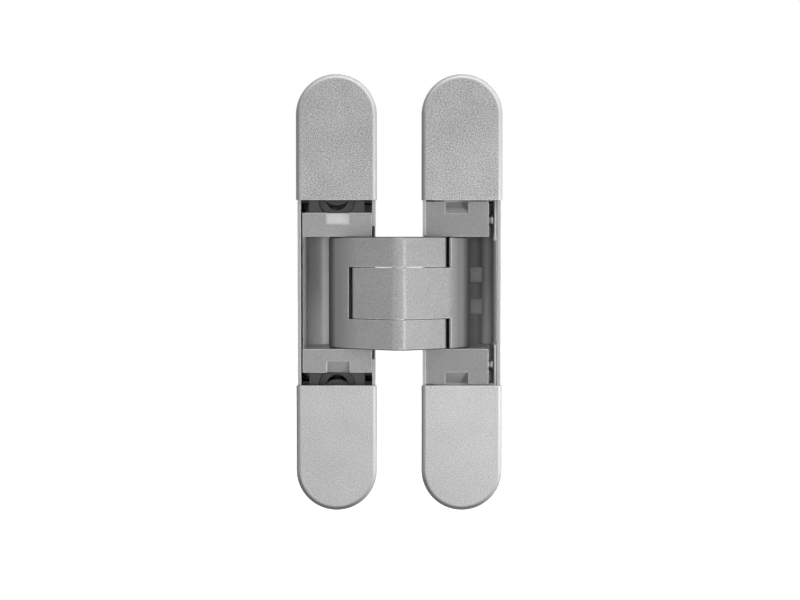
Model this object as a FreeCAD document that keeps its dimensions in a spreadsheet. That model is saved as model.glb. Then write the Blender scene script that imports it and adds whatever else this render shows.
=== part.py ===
"""Concealed door hinge with interlaced folding arms, adjustable in three directions.

Millimetres. X runs across both leaves, +Y runs into the wood and +Z is up. The origin is the
centre of the frame leaf on the back of its flange, where it seats on the wood. The hinge is drawn
open by 180 degrees: the frame leaf on the left, the door leaf one leaf pitch to the right, and
the arms arching over the gap towards -Y. Inside each body, levels are counted from the leaf's
face, which lies one flange thickness in front of the origin.

Each leaf has a fixed pivot near the gap and a slider that runs in curved guide grooves deeper in
its pocket. The tongue arm turns on the frame leaf's pivot and slides in the door leaf. The fork
arm turns on the door leaf's pivot and slides in the frame leaf. Both cross at the elbow pin.
"""
import FreeCAD
import Part
import math
import os
import Sketcher

Vector = FreeCAD.Vector

# Driving dimensions
DIMENSIONS = (
    # Leaves
    ("leaf_height", 134.0),
    ("leaf_width", 24.0),
    ("leaf_pitch", 38.5),
    ("flange_thickness", 3.0),
    ("opening_width", 21.9),
    ("case_width", 23.2),
    ("case_floor", 1.2),
    ("case_corner", 2.5),
    ("pocket_corner", 0.3),
    ("shallow_floor", 5.2),
    ("end_wall", 1.2),
    ("notch_clearance", 0.6),
    ("floor_clearance", 0.3),
    ("tap_floor", 0.5),
    ("window_height", 57.0),
    # Covers
    ("cover_overhang", 0.4),
    ("cover_thickness", 1.5),
    ("cover_rounding", 1.1),
    ("peg_radius", 0.95),
    ("peg_length", 2.4),
    ("peg_clearance", 0.05),
    ("inner_peg_step", 7.2),
    ("outer_peg_step", 6.9),
    # Fixing holes
    ("fixing_inset", 11.6),
    ("fixing_radius", 2.5),
    ("countersink_radius", 4.6),
    # Folding linkage
    ("pivot_reach", 8.2),
    ("pivot_depth", 3.0),
    ("elbow_height", 7.2),
    ("closed_gap", 5.0),
    ("slider_reach", 2.5),
    ("slider_depth", 9.0),
    # Arms
    ("arm_height", 34.4),
    ("tongue_height", 15.5),
    ("side_gap", 0.25),
    ("heel_level", 2.7),
    ("elbow_radius", 3.9),
    ("barrel_radius", 3.6),
    ("barrel_rounding", 3.2),
    ("eye_radius", 3.4),
    ("heel_reach", -2.6),
    ("heel_edge", 2.67),
    ("heel_low_rise", 3.24),
    ("heel_low_rounding", 2.0),
    ("slot_end_reach", 3.85),
    ("web_thickness", 3.7),
    ("eye_web", 5.4),
    ("eye_web_rounding", 2.5),
    ("tip_rounding", 1.0),
    ("slot_rounding", 0.8),
    ("elbow_underside", 4.68),
    ("bend_reach", 7.0),
    ("bend_rounding", 3.0),
    ("shelf_clearance", 0.2),
    ("shelf_beyond_pivot", 1.5),
    ("shelf_corner", 0.6),
    ("slot_bevel", 0.25),
    ("root_bevel", 0.6),
    ("arm_rounding", 0.4),
    # Pins, bushes and rollers
    ("pivot_pin_radius", 1.8),
    ("elbow_pin_radius", 2.0),
    ("slider_pin_radius", 1.5),
    ("bush_wall", 0.7),
    ("roller_radius", 2.0),
    ("roller_length", 2.8),
    ("running_clearance", 0.05),
    ("pin_clearance", 0.02),
    ("end_clearance", 0.1),
    ("pin_bevel", 0.3),
    ("cut_margin", 0.5),
    # Frame carriage
    ("height_travel", 3.0),
    ("frame_block_end", 24.6),
    ("frame_block_depth", 25.6),
    ("block_side_gap", 0.45),
    ("block_gap_side", 0.1),
    ("trough_floor", 1.4),
    ("trough_rounding", 5.0),
    ("trough_lean", 0.5),
    ("groove_depth", 3.2),
    ("pin_socket_wall", 1.0),
    ("lug_width", 17.3),
    ("lug_level", 2.0),
    ("lug_thickness", 3.8),
    ("lug_end_wall", 1.1),
    ("counterbore_clearance", 0.5),
    ("counterbore_depth", 2.4),
    ("clamp_beyond_block", 7.2),
    ("slot_clearance", 0.3),
    ("notch_width", 7.1),
    ("notch_length", 3.5),
    ("notch_depth", 1.8),
    ("notch_inner_depth", 0.35),
    ("notch_offset", 0.5),
    ("trough_top", 1.0),
    ("trough_wall", 0.2),
    # Door blocks, cradle and screws
    ("lateral_travel", 1.5),
    ("depth_travel", 1.1),
    ("door_block_clearance", 2.7),
    ("door_block_end", 28.0),
    ("door_notch_depth", 3.0),
    ("door_notch_inner_depth", 0.6),
    ("door_notch_offset", -1.5),
    ("door_lug_level", 1.8),
    ("door_lug_thickness", 2.8),
    ("door_lug_beyond_clamp", 4.2),
    ("lug_side_clearance", 0.4),
    ("lug_overlap", 2.0),
    ("cradle_wall", 1.2),
    ("cradle_side_wall", 0.7),
    ("cradle_clearance", 0.4),
    ("cradle_plate", 3.4),
    ("cradle_end", 45.0),
    ("bracket_overlap", 1.0),
    ("window_length", 5.1),
    ("window_width", 4.08),
    ("window_level", 5.1),
    ("window_reach", 5.7),
    ("clamp_head_radius", 5.1),
    ("clamp_shank_radius", 2.9),
    ("clamp_socket_radius", 2.3),
    ("clamp_socket_depth", 1.6),
    ("door_clamp_beyond_block", 6.0),
    ("clamp_clearance", 0.2),
    ("door_clamp_head_radius", 3.9),
    ("door_clamp_head", 1.4),
    ("door_clamp_shank_radius", 2.0),
    ("door_clamp_socket_depth", 1.0),
    ("lateral_screw_inset", 3.0),
    ("lateral_head_radius", 3.1),
    ("lateral_head", 1.7),
    ("lateral_shank_radius", 2.0),
    ("lateral_socket_depth", 1.2),
    ("depth_screw_height", 22.6),
    ("depth_screw_level", 6.0),
    ("depth_screw_radius", 1.9),
    ("depth_screw_length", 8.2),
    ("depth_bore_lead", 1.0),
    ("depth_socket_depth", 1.5),
    ("screw_socket_radius", 1.2),
    ("screw_bevel", 0.3),
    ("screw_end_clearance", 0.3),
)

# Sizes that follow from the driving ones
FOLLOWING = (
    ("fixing_spacing", "=leaf_height - 2 * fixing_inset"),
    ("inner_peg_height", "=fixing_spacing / 2 - inner_peg_step"),
    ("outer_peg_height", "=fixing_spacing / 2 + outer_peg_step"),
    ("counterbore_radius", "=clamp_head_radius + counterbore_clearance"),
    ("clamp_height", "=frame_block_end + clamp_beyond_block"),
    ("lug_end", "=clamp_height + height_travel + counterbore_radius + lug_end_wall"),
    ("door_block_width", "=opening_width - block_gap_side - door_block_clearance"),
    ("door_clamp_height", "=door_block_end + door_clamp_beyond_block"),
    ("door_lug_end", "=door_clamp_height + door_lug_beyond_clamp"),
    ("lateral_screw_height", "=cradle_end - lateral_screw_inset"),
)

doc = FreeCAD.newDocument("concealed_hinge")
sheet = doc.addObject("Spreadsheet::Sheet", "Sizes")
for row, (alias, value) in enumerate(DIMENSIONS + FOLLOWING, start=1):
    sheet.set("A%d" % row, alias.replace("_", " "))
    sheet.set("B%d" % row, str(value))
    sheet.setAlias("B%d" % row, alias)
doc.recompute()


def size(alias):
    """Read one driving dimension back from the sheet."""
    return float(getattr(sheet, alias))


# Linkage worked out from the driving dimensions
def folded_elbow_reach():
    """Place of the folded elbow across the leaf, so that open and folded arms are equally long."""
    pivot = size("pivot_reach")
    depth = size("pivot_depth")
    rise = size("elbow_height") + depth
    lift = size("closed_gap") / 2 + depth
    across = size("leaf_pitch") / 2 - pivot
    return pivot - math.sqrt(rise ** 2 + across ** 2 - lift ** 2)


def roof_angle():
    """Slope of the arms' outside, from the heel's level to a tangent on the elbow's round."""
    across = size("leaf_pitch") / 2 - size("heel_reach")
    rise = size("elbow_height") + size("heel_level")
    return math.atan2(rise, across) + math.asin(size("elbow_radius") / math.hypot(across, rise))


MIDDLE = size("leaf_pitch") / 2
RISE = size("elbow_height")
ROOF_ANGLE = roof_angle()
PIVOT = Vector(size("pivot_reach"), size("pivot_depth"), 0)
ELBOW = Vector(MIDDLE, -RISE, 0)
SLIDER = Vector(size("slider_reach"), size("slider_depth"), 0)
FOLDED_ELBOW = Vector(folded_elbow_reach(), -size("closed_gap") / 2, 0)


def turned(point, centre, angle):
    """Turn a point about a centre in the plan, towards the folded side, by an angle in radians."""
    across = point.x - centre.x
    out = centre.y - point.y
    return Vector(centre.x + across * math.cos(angle) - out * math.sin(angle),
                  centre.y - across * math.sin(angle) - out * math.cos(angle), 0)


def bearing(point, centre):
    """Direction of a point seen from a centre, in radians from +X towards -Y."""
    return math.atan2(centre.y - point.y, point.x - centre.x)


TONGUE_TURN = bearing(FOLDED_ELBOW, PIVOT) - bearing(ELBOW, PIVOT)
FORK_TURN = math.pi - TONGUE_TURN


def slider_at(share):
    """Slider centre in the frame leaf at a share of the whole travel, 0 open and 1 closed."""
    elbow = turned(ELBOW, PIVOT, TONGUE_TURN * share)
    return turned(SLIDER + elbow - ELBOW, elbow, FORK_TURN * share)


# Drawing helpers
def new_body(label):
    """Body whose own level 0 is the leaf's face."""
    body = doc.addObject("PartDesign::Body", label)
    body.Label = label
    body.setExpression("Placement.Base.y", "-Sizes.flange_thickness")
    return body


def sketch_on(body, role, name, level=None):
    """Sketch on one of the body's origin planes, moved along the plane's normal by a formula."""
    sketch = body.newObject("Sketcher::SketchObject", name)
    plane = next(item for item in body.Origin.OriginFeatures if item.Role == role)
    sketch.AttachmentSupport = (plane, [""])
    sketch.MapMode = "FlatFace"
    if level is not None:
        sketch.setExpression("AttachmentOffset.Base.z", level)
    return sketch


def bound_constraint(sketch, parts, formula):
    index = sketch.addConstraint(Sketcher.Constraint(*parts))
    sketch.setExpression("Constraints[%d]" % index, formula)


def circle(sketch, across, along, radius):
    """Circle whose centre and radius are formulas of the sheet."""
    index = sketch.addGeometry(Part.Circle(Vector(0, 0, 0), Vector(0, 0, 1), 1.0))
    bound_constraint(sketch, ("Radius", index, 1.0), radius)
    bound_constraint(sketch, ("DistanceX", -1, 1, index, 3, 0.5), across)
    bound_constraint(sketch, ("DistanceY", -1, 1, index, 3, 0.5), along)


def rectangle(sketch, low_across, high_across, low_along, high_along):
    """Upright rectangle whose four sides are formulas of the sheet."""
    corners = (Vector(0, 0, 0), Vector(1, 0, 0), Vector(1, 1, 0), Vector(0, 1, 0))
    lines = [sketch.addGeometry(Part.LineSegment(corners[index], corners[(index + 1) % 4]))
             for index in range(4)]
    for index in range(4):
        following = lines[(index + 1) % 4]
        sketch.addConstraint(Sketcher.Constraint("Coincident", lines[index], 2, following, 1))
        direction = "Horizontal" if index % 2 == 0 else "Vertical"
        sketch.addConstraint(Sketcher.Constraint(direction, lines[index]))
    bound_constraint(sketch, ("DistanceX", -1, 1, lines[0], 1, 0.0), low_across)
    bound_constraint(sketch, ("DistanceY", -1, 1, lines[0], 1, 0.0), low_along)
    bound_constraint(sketch, ("DistanceX", -1, 1, lines[2], 1, 1.0), high_across)
    bound_constraint(sketch, ("DistanceY", -1, 1, lines[2], 1, 1.0), high_along)


def rounded_outline(sketch, corners):
    """Closed outline through (x, y, radius) corners, with a tangent arc at each rounded one."""
    stretches = []
    for index, (across, along, radius) in enumerate(corners):
        here = Vector(across, along, 0)
        if radius <= 0:
            stretches.append((here, None, here))
            continue
        before = corners[index - 1]
        after = corners[(index + 1) % len(corners)]
        back = (Vector(before[0], before[1], 0) - here).normalize()
        ahead = (Vector(after[0], after[1], 0) - here).normalize()
        half_angle = back.getAngle(ahead) / 2
        reach = radius / math.tan(half_angle)
        inward = (back + ahead).normalize()
        crown = here + inward * (radius / math.sin(half_angle) - radius)
        stretches.append((here + back * reach, crown, here + ahead * reach))
    for index, (start, crown, end) in enumerate(stretches):
        if crown is not None:
            sketch.addGeometry(Part.ArcOfCircle(start, crown, end))
        following = stretches[(index + 1) % len(stretches)][0]
        if (following - end).Length > 1e-6:
            sketch.addGeometry(Part.LineSegment(end, following))


def extrude(body, kind, sketch, length, both_ways, reverse=False):
    feature = body.newObject(kind, sketch.Label + "_solid")
    feature.Profile = sketch
    feature.setExpression("Length", length)
    feature.Midplane = both_ways
    feature.Reversed = reverse
    return feature


def slab(body, name, level, thickness, draw):
    """Solid grown into the wood from the given level below the face."""
    sketch = sketch_on(body, "XZ_Plane", name, "-(%s)" % level)
    draw(sketch)
    return extrude(body, "PartDesign::Pad", sketch, thickness, False, True)


def recess(body, name, level, depth, draw):
    """Hollow cut into the wood side from the given level below the face."""
    sketch = sketch_on(body, "XZ_Plane", name, "-(%s)" % level)
    draw(sketch)
    return extrude(body, "PartDesign::Pocket", sketch, depth, False)


def centred(body, kind, role, name, length, draw):
    """Pad or pocket that runs both ways from one of the body's middle planes."""
    sketch = sketch_on(body, role, name)
    draw(sketch)
    return extrude(body, kind, sketch, length, True)


def edges_where(feature, test):
    return ["Edge%d" % (index + 1) for index, edge in enumerate(feature.Shape.Edges) if test(edge)]


def dress(body, kind, name, amount, test):
    """Fillet or chamfer on the edges of the last feature that pass a test."""
    doc.recompute()
    base = body.Tip
    feature = body.newObject(kind, name)
    feature.Base = (base, edges_where(base, test))
    feature.setExpression("Radius" if kind.endswith("Fillet") else "Size", amount)
    return feature


def is_round_edge(edge, radius, level):
    """Full circle of a radius whose plane is at a level below the face."""
    curve = edge.Curve
    return (isinstance(curve, Part.Circle) and abs(curve.Radius - radius) < 1e-4
            and abs(curve.Center.y - level) < 1e-4)


# Leaves
def flange_corners():
    """Flange outline: as wide as the leaf, with half-round ends."""
    half_width = size("leaf_width") / 2
    half_height = size("leaf_height") / 2 - size("cover_overhang")
    return [(-half_width, -half_height, half_width), (half_width, -half_height, half_width),
            (half_width, half_height, half_width), (-half_width, half_height, half_width)]


def boxed(half_width, half_height, radius):
    return [(-half_width, -half_height, radius), (half_width, -half_height, radius),
            (half_width, half_height, radius), (-half_width, half_height, radius)]


def notch_depth(extra):
    """Depth of the gap-side notch: it clears the arm's eye where the eye meets the wall."""
    beside = size("opening_width") / 2 - size("pivot_reach")
    meeting = size("pivot_depth") + math.sqrt(size("eye_radius") ** 2 - beside ** 2)
    return meeting + size("notch_clearance") + extra


def leaf_housing(label, gap_side, deep_end, deep_floor, shallow_end, shallow_level, slack, taps):
    """Cast housing: flange, shallow ends for the adjusting plates and a deep middle pocket."""
    body = new_body(label)
    corner = size("case_corner")
    half_case = size("case_width") / 2
    half_opening = size("opening_width") / 2
    wall = size("end_wall")
    slab(body, label + "_flange", "0", "Sizes.flange_thickness",
         lambda sketch: rounded_outline(sketch, flange_corners()))
    slab(body, label + "_shallow_case", "0", "%r + Sizes.shallow_floor" % shallow_level,
         lambda sketch: rounded_outline(sketch, boxed(half_case, shallow_end + wall, corner)))
    slab(body, label + "_deep_case", "0", "%r + Sizes.case_floor" % deep_floor,
         lambda sketch: rounded_outline(sketch, boxed(half_case, deep_end + wall, corner)))
    recess(body, label + "_shallow_pocket", "0", "%r" % shallow_level,
           lambda sketch: rounded_outline(sketch, boxed(half_opening, shallow_end,
                                                      size("pocket_corner"))))
    recess(body, label + "_deep_pocket", "0", "%r" % deep_floor,
           lambda sketch: rounded_outline(sketch, boxed(half_opening, deep_end, 0)))
    inner = gap_side * (half_opening - size("cut_margin"))
    outer = gap_side * (size("leaf_width") / 2 + size("cut_margin"))
    reach = size("arm_height") / 2 + slack
    recess(body, label + "_arm_notch", "0", "%r" % notch_depth(0 if gap_side > 0 else
                                                              size("lateral_travel")),
           lambda sketch: rounded_outline(sketch, [(inner, -reach, 0), (outer, -reach, 0),
                                                   (outer, reach, 0), (inner, reach, 0)]))
    for end, sign in (("top", ""), ("bottom", "-")):
        recess(body, label + "_fixing_" + end, "0", "Sizes.flange_thickness",
               lambda sketch: circle(sketch, "0", sign + "Sizes.fixing_spacing / 2",
                                     "Sizes.fixing_radius"))
        for peg in ("inner", "outer"):
            recess(body, label + "_%s_peg_%s" % (peg, end), "0", "Sizes.flange_thickness",
                   lambda sketch: circle(sketch, "0", sign + "Sizes.%s_peg_height" % peg,
                                         "Sizes.peg_radius + Sizes.peg_clearance"))
        for height, radius, depth in taps:
            recess(body, label + "_tap_" + end, "%r" % shallow_level, depth,
                   lambda sketch: circle(sketch, "0", sign + height, radius))
    dress(body, "PartDesign::Chamfer", label + "_countersinks",
          "Sizes.countersink_radius - Sizes.fixing_radius",
          lambda edge: is_round_edge(edge, size("fixing_radius"), 0))
    return body


def frame_shallow_level():
    return size("lug_level") + size("lug_thickness")


def make_frame_housing():
    travel = size("height_travel") + size("end_clearance")
    return leaf_housing("frame_housing", 1, size("frame_block_end") + travel,
                        size("frame_block_depth") + size("floor_clearance"),
                        size("lug_end") + travel, frame_shallow_level(),
                        size("height_travel") + size("floor_clearance"),
                        [("Sizes.clamp_height", "Sizes.clamp_shank_radius + Sizes.pin_clearance",
                          "Sizes.shallow_floor - Sizes.tap_floor")])


# Door side levels, from the face inwards
def cradle_level():
    return size("door_lug_level") + size("door_lug_thickness")


def cradle_bottom():
    return cradle_level() + size("cradle_plate")


def cradle_inner_end():
    return size("door_block_end") + size("cradle_clearance")


def cradle_outer_end():
    return cradle_inner_end() + size("cradle_wall")


def make_door_housing():
    body = leaf_housing("door_housing", -1, cradle_outer_end() + size("end_clearance"),
                        size("frame_block_depth") + size("lateral_travel")
                        + size("end_clearance"),
                        size("cradle_end") + size("end_clearance"),
                        cradle_bottom() + size("lateral_travel") + size("end_clearance"),
                        size("floor_clearance"),
                        [("Sizes.lateral_screw_height",
                          "Sizes.lateral_shank_radius + Sizes.running_clearance",
                          "Sizes.shallow_floor - Sizes.lateral_travel")])
    body.setExpression("Placement.Base.x", "Sizes.leaf_pitch")
    return body


def make_cover(label, place, upward):
    """Clip-on cover: a plate with one half-round end, a rounded rim and two pegs behind."""
    body = new_body(label)
    half_width = size("leaf_width") / 2 + size("cover_overhang")
    inner = size("window_height") / 2
    outer = size("leaf_height") / 2
    corners = [(-half_width, upward * inner, 0), (half_width, upward * inner, 0),
               (half_width, upward * outer, half_width), (-half_width, upward * outer, half_width)]
    slab(body, label + "_plate", "-Sizes.cover_thickness", "Sizes.cover_thickness",
         lambda sketch: rounded_outline(sketch, corners))
    face = -size("cover_thickness")

    def on_rim(edge):
        flat = abs(edge.BoundBox.YMin - face) < 1e-4 and abs(edge.BoundBox.YMax - face) < 1e-4
        return flat and edge.BoundBox.ZLength > 0.1

    dress(body, "PartDesign::Fillet", label + "_rim", "Sizes.cover_rounding", on_rim)
    sign = "" if upward > 0 else "-"
    for peg in ("inner", "outer"):
        slab(body, label + "_" + peg + "_peg", "0", "Sizes.peg_length",
             lambda sketch: circle(sketch, "0", sign + "Sizes.%s_peg_height" % peg,
                                   "Sizes.peg_radius"))
    if place:
        body.setExpression("Placement.Base.x", place)
    return body


# Guide grooves and pin seats, for either side
def groove(sketch, side):
    """Groove outline: two curves beside the slider's path, closed by half-round ends."""
    radius = size("roller_radius") + size("running_clearance")
    steps = 10
    left = []
    right = []
    for step in range(steps + 1):
        share = step / steps
        here = slider_at(share)
        along = (slider_at(share + 0.01) - slider_at(share - 0.01)).normalize()
        across = Vector(-along.y, along.x, 0) * radius
        left.append(mirrored(here + across, side))
        right.append(mirrored(here - across, side))
        if step == 0:
            start = mirrored(here - along * radius, side)
        if step == steps:
            end = mirrored(here + along * radius, side)
    for points in (left, right):
        curve = Part.BSplineCurve()
        curve.interpolate(points)
        sketch.addGeometry(curve)
    sketch.addGeometry(Part.ArcOfCircle(left[0], start, right[0]))
    sketch.addGeometry(Part.ArcOfCircle(left[-1], end, right[-1]))


def mirrored(point, side):
    return Vector(side * point.x, point.y, 0)


def make_frame_carriage():
    """Casting that slides in the frame housing: two grooved blocks, a trough and two lugs."""
    body = new_body("frame_carriage")
    left = "-(Sizes.opening_width / 2 - Sizes.block_side_gap)"
    right = "Sizes.opening_width / 2 - Sizes.block_gap_side"
    near = "Sizes.arm_height / 2 + Sizes.end_clearance"
    depth = size("frame_block_depth")
    far_left = -(size("opening_width") / 2 - size("block_side_gap"))
    far_right = size("opening_width") / 2 - size("block_gap_side")
    floor = depth - size("trough_floor")
    trough_top = size("trough_top")
    inside = far_left + size("trough_wall")
    trough = [(far_left, trough_top, 0), (far_left, depth, 0), (far_right, depth, 0),
              (far_right, floor, 0),
              (inside + size("trough_lean"), floor, size("trough_rounding")),
              (inside, trough_top, 0)]
    centred(body, "PartDesign::Pad", "XY_Plane", "trough", "2 * (%s)" % near,
            lambda sketch: rounded_outline(sketch, trough))
    for end, sign in (("top", ""), ("bottom", "-")):
        slab(body, "block_" + end, "0", "Sizes.frame_block_depth",
             lambda sketch: rectangle(sketch, left, right, sign + "(" + near + ")",
                                      sign + "Sizes.frame_block_end"))
        slab(body, "lug_" + end, "Sizes.lug_level", "Sizes.lug_thickness",
             lambda sketch: rectangle(sketch, "-Sizes.lug_width / 2", "Sizes.lug_width / 2",
                                      sign + "Sizes.frame_block_end", sign + "Sizes.lug_end"))
        flip = -1 if sign else 1
        recess(body, "counterbore_" + end, "Sizes.lug_level", "Sizes.counterbore_depth",
               lambda sketch: height_slot(sketch, flip, size("counterbore_radius")))
        recess(body, "slot_" + end, "Sizes.lug_level", "Sizes.lug_thickness",
               lambda sketch: height_slot(sketch, flip, size("clamp_shank_radius")
                                          + size("slot_clearance")))
    centred(body, "PartDesign::Pocket", "XY_Plane", "guide_grooves",
            "2 * (%s + Sizes.groove_depth)" % near, lambda sketch: groove(sketch, 1))
    centred(body, "PartDesign::Pocket", "XY_Plane", "pivot_seat",
            "2 * (Sizes.frame_block_end - Sizes.pin_socket_wall)",
            lambda sketch: circle(sketch, "Sizes.pivot_reach", "Sizes.pivot_depth",
                                  "Sizes.pivot_pin_radius + Sizes.pin_clearance"))
    for flip in (1, -1):
        ramp_notch(body, "ramp_%s" % ("top" if flip > 0 else "bottom"), flip,
                   size("frame_block_end"), size("notch_depth"), size("notch_inner_depth"),
                   size("notch_offset"))
    return body


def height_slot(sketch, flip, radius):
    """Obround along Z, as long as the height travel lets the clamp screw move in it."""
    reach = size("height_travel") + radius
    low = flip * size("clamp_height") - reach
    high = flip * size("clamp_height") + reach
    rounded_outline(sketch, [(-radius, low, radius), (radius, low, radius),
                             (radius, high, radius), (-radius, high, radius)])


def ramp_notch(body, name, flip, end, outer_depth, inner_depth, offset):
    """Pry notch at a block's outer edge, with a floor that slopes down towards the cover."""
    sketch = sketch_on(body, "YZ_Plane", name, "%r" % (offset - size("notch_width") / 2))
    inner = end - size("notch_length")
    margin = size("cut_margin")
    rounded_outline(sketch, [(-margin, flip * (end + margin), 0),
                             (outer_depth, flip * (end + margin), 0),
                             (outer_depth, flip * end, 0), (inner_depth, flip * inner, 0),
                             (-margin, flip * inner, 0)])
    return extrude(body, "PartDesign::Pocket", sketch, "Sizes.notch_width", False, True)


# Arms
def outer_line(reach):
    """Level of the arm's outer slope at a distance from the frame leaf's centre."""
    return size("heel_level") - math.tan(ROOF_ANGLE) * (reach - size("heel_reach"))


def root_corners():
    """Full-height root: outer heel, slot end, inner corner and the barrel round the slider pin."""
    barrel = size("barrel_radius")
    heel = size("heel_reach")
    slot_end = size("slot_end_reach")
    drop = size("web_thickness") / math.cos(ROOF_ANGLE)
    low = SLIDER.y + barrel
    return {
        "heel": (heel, outer_line(heel),
                 size("heel_edge") * math.tan(math.pi / 4 + ROOF_ANGLE / 2)),
        "inner": (slot_end, outer_line(slot_end) + drop, size("slot_rounding")),
        "barrel_inner": (SLIDER.x + barrel, low, size("barrel_rounding")),
        "barrel_outer": (SLIDER.x - barrel, low, size("barrel_rounding")),
        "heel_low": (heel, SLIDER.y - size("heel_low_rise"), size("heel_low_rounding")),
    }


def slot_edge(bevel):
    """Two corners that break the edge between the outer slope and the slot's end wall."""
    reach = size("slot_end_reach")
    return [(reach - bevel, outer_line(reach - bevel), 0),
            (reach, outer_line(reach) + bevel / math.cos(ROOF_ANGLE), 0)]


def arm_corners():
    """Whole side outline of an arm, from the heel over the elbow to the eye and back."""
    root = root_corners()
    radius = size("elbow_radius")
    eye = size("eye_radius")
    tip = 2 * MIDDLE - (PIVOT.x - eye)
    inner_face = 2 * MIDDLE - (PIVOT.x + eye)
    low = PIVOT.y + eye
    bend = MIDDLE - size("bend_reach")
    return [
        root["heel"],
        (MIDDLE, -RISE - radius / math.cos(ROOF_ANGLE), radius),
        (tip, outer_line(PIVOT.x - eye), size("tip_rounding")),
        (tip, low, eye),
        (inner_face, low, eye),
        (inner_face, outer_line(PIVOT.x + eye) + size("eye_web") / math.cos(ROOF_ANGLE),
         size("eye_web_rounding")),
        (MIDDLE, -RISE + size("elbow_underside"), radius),
        (bend, outer_line(bend) + size("web_thickness") / math.cos(ROOF_ANGLE),
         size("bend_rounding")),
        root["inner"],
        root["barrel_inner"],
        root["barrel_outer"],
        root["heel_low"],
    ]


def across_middle(corners):
    """The same corners on the other side of the hinge's middle plane, still in order."""
    return [(2 * MIDDLE - across, along, radius) for across, along, radius in reversed(corners)]


def on_end_face(edge, half_height):
    """Edge of the outline on an arm's top or bottom face, but not the rim of a bore."""
    box = edge.BoundBox
    level = abs(box.ZLength) < 1e-6 and abs(abs(box.ZMin) - half_height) < 1e-4
    closed = isinstance(edge.Curve, Part.Circle) and len(edge.Vertexes) == 1
    return level and not closed


def bore(body, name, across, along, radius, length):
    centred(body, "PartDesign::Pocket", "XY_Plane", name, length,
            lambda sketch: circle(sketch, across, along, radius))


def make_fork_arm():
    """Arm with a full-height root in the frame leaf and two tines that straddle the tongue."""
    body = new_body("fork_arm")
    half_height = size("arm_height") / 2
    centred(body, "PartDesign::Pad", "XY_Plane", "fork_outline", "Sizes.arm_height",
            lambda sketch: rounded_outline(sketch, arm_corners()))
    dress(body, "PartDesign::Chamfer", "fork_edges", "Sizes.arm_rounding",
          lambda edge: on_end_face(edge, half_height))
    shelf = (root_corners()["barrel_inner"][1] - 2 * size("barrel_radius")
             - size("shelf_clearance"))
    shelf_end = PIVOT.x + size("shelf_beyond_pivot")
    edge = slot_edge(size("slot_bevel"))
    clear = size("leaf_width")
    slot = [(edge[0][0], -clear, 0)] + edge + [
        (size("slot_end_reach"), shelf, size("shelf_corner")), (shelf_end, shelf, 0),
        (shelf_end, clear, 0), (2 * MIDDLE, clear, 0), (2 * MIDDLE, -clear, 0)]
    centred(body, "PartDesign::Pocket", "XY_Plane", "tongue_slot",
            "Sizes.tongue_height + 2 * Sizes.side_gap", lambda sketch: rounded_outline(sketch, slot))
    bore(body, "elbow_bore", "%r" % ELBOW.x, "%r" % ELBOW.y,
         "Sizes.elbow_pin_radius + Sizes.pin_clearance", "Sizes.arm_height + 2 * Sizes.cut_margin")
    bore(body, "pivot_bore", "Sizes.leaf_pitch - Sizes.pivot_reach", "Sizes.pivot_depth",
         "Sizes.pivot_pin_radius + Sizes.running_clearance + Sizes.bush_wall + Sizes.pin_clearance",
         "Sizes.arm_height + 2 * Sizes.cut_margin")
    bore(body, "slider_bore", "Sizes.slider_reach", "Sizes.slider_depth",
         "Sizes.slider_pin_radius + Sizes.pin_clearance", "Sizes.arm_height + 2 * Sizes.cut_margin")
    return body


def make_tongue_arm():
    """Arm with a narrow tongue in the frame leaf and a full-height root in the door leaf."""
    body = new_body("tongue_arm")
    half_height = size("arm_height") / 2
    root = root_corners()
    root_outline = ([root["heel"]] + slot_edge(size("root_bevel"))
                    + [root[name] for name in ("inner", "barrel_inner", "barrel_outer",
                                               "heel_low")])
    centred(body, "PartDesign::Pad", "XY_Plane", "root_outline", "Sizes.arm_height",
            lambda sketch: rounded_outline(sketch, across_middle(root_outline)))
    dress(body, "PartDesign::Chamfer", "root_edges", "Sizes.arm_rounding",
          lambda edge: on_end_face(edge, half_height))
    centred(body, "PartDesign::Pad", "XY_Plane", "tongue_outline", "Sizes.tongue_height",
            lambda sketch: rounded_outline(sketch, across_middle(arm_corners())))
    bore(body, "elbow_seat", "%r" % ELBOW.x, "%r" % ELBOW.y,
         "Sizes.elbow_pin_radius + Sizes.running_clearance + Sizes.bush_wall + Sizes.pin_clearance",
         "Sizes.arm_height + 2 * Sizes.cut_margin")
    bore(body, "eye_seat", "Sizes.pivot_reach", "Sizes.pivot_depth",
         "Sizes.pivot_pin_radius + Sizes.running_clearance + Sizes.bush_wall + Sizes.pin_clearance",
         "Sizes.arm_height + 2 * Sizes.cut_margin")
    bore(body, "root_slider_bore", "Sizes.leaf_pitch - Sizes.slider_reach", "Sizes.slider_depth",
         "Sizes.slider_pin_radius + Sizes.pin_clearance", "Sizes.arm_height + 2 * Sizes.cut_margin")
    return body


# Pins, bushes and rollers along Z
def cylinder(name, across, along, radius, length):
    """Round bar along Z, centred on the hinge's mid height."""
    bar = doc.addObject("Part::Cylinder", name)
    bar.setExpression("Placement.Base.x", across)
    bar.setExpression("Placement.Base.y", "%s - Sizes.flange_thickness" % along)
    bar.setExpression("Placement.Base.z", "-(%s) / 2" % length)
    bar.setExpression("Radius", radius)
    bar.setExpression("Height", length)
    return bar


def pin(label, across, along, radius, length):
    """Pin with a small chamfer at both ends."""
    bar = cylinder(label + "_bar", across, along, radius, length)
    doc.recompute()
    chamfer = doc.addObject("Part::Chamfer", label)
    chamfer.Base = bar
    ends = [index + 1 for index, edge in enumerate(bar.Shape.Edges)
            if isinstance(edge.Curve, Part.Circle)]
    chamfer.Edges = [(index, size("pin_bevel"), size("pin_bevel")) for index in ends]
    return chamfer


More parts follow.
